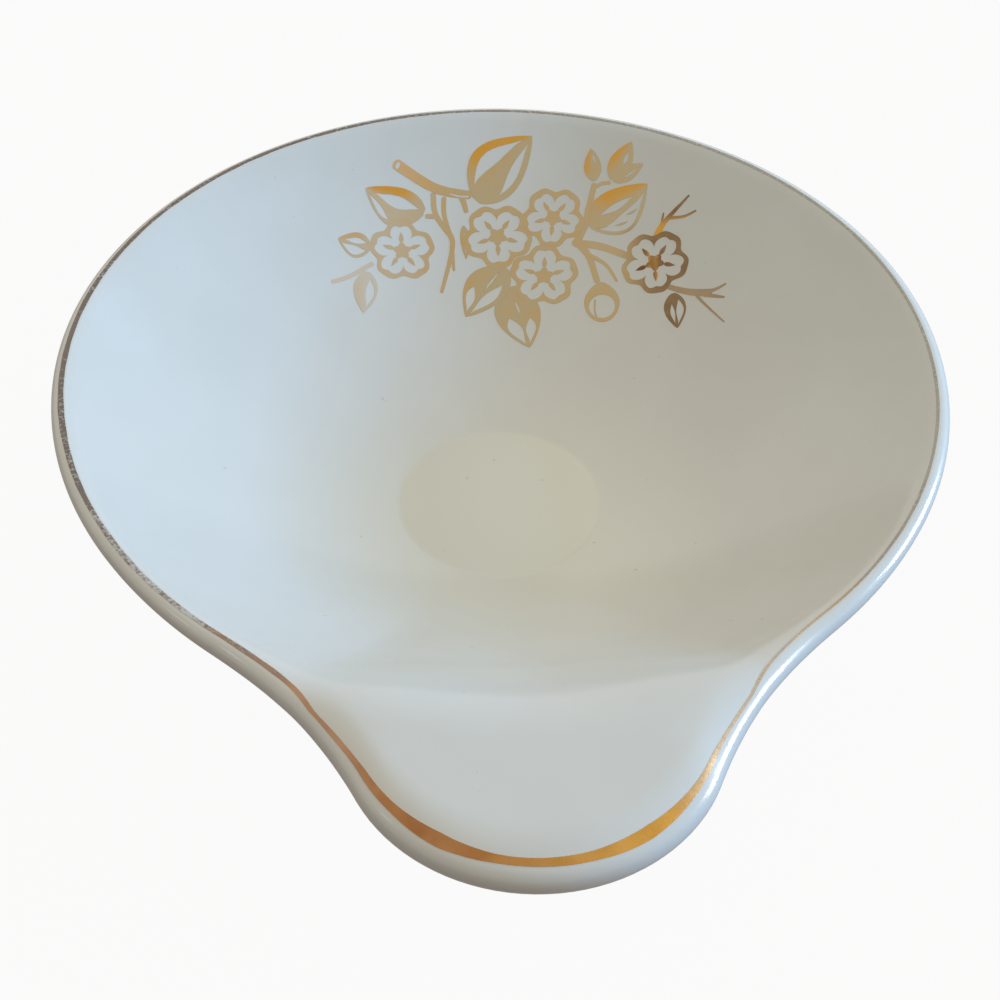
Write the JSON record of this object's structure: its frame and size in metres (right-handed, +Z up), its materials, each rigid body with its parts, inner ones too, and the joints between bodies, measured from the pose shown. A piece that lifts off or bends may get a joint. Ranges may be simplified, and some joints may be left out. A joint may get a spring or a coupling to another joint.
{
  "type": "candy dish",
  "caption": "Round porcelain candy dish drawn out into a spoon-like lip, on a low foot ring, with a gilded rim and a gold blossom spray inside.",
  "frame": {"origin": "on the table, under the middle of the dish's overall length and width", "axes": "+Z up; -Y towards the tip of the lip, +Y towards the back wall with the spray; +X to the right seen from the lip"},
  "size_m": [0.15, 0.1807, 0.0424],
  "materials": {
    "porcelain": "gloss",
    "bare_clay": "matte",
    "rim_gold": "polished",
    "spray_gold": "satin"
  },
  "bodies": {
    "root": {"dish_body": "porcelain", "foot_ring": "bare_clay", "rim_gilding": "rim_gold", "blossom_left_outline": "spray_gold", "blossom_centre_outline": "spray_gold", "blossom_upper_outline": "spray_gold", "blossom_lower_outline": "spray_gold", "blossom_right_outline": "spray_gold", "blossom_left_star": "spray_gold", "blossom_centre_star": "spray_gold", "blossom_upper_star": "spray_gold", "blossom_lower_star": "spray_gold", "blossom_right_star": "spray_gold", "leaf_top": "spray_gold", "leaf_upper_left": "spray_gold", "leaf_far_left": "spray_gold", "leaf_lower_left": "spray_gold", "leaf_right": "spray_gold", "leaf_bottom_left": "spray_gold", "leaf_bottom": "spray_gold", "leaf_right_lower": "spray_gold", "leaf_sliver": "spray_gold", "bud_pointed": "spray_gold", "bud_tulip": "spray_gold", "bud_round": "spray_gold", "branch_main": "spray_gold", "branch_hanging": "spray_gold", "branch_right": "spray_gold", "twig_lower_left": "spray_gold", "twig_right_top": "spray_gold", "twig_right_low": "spray_gold"}
  },
  "joints": []
}
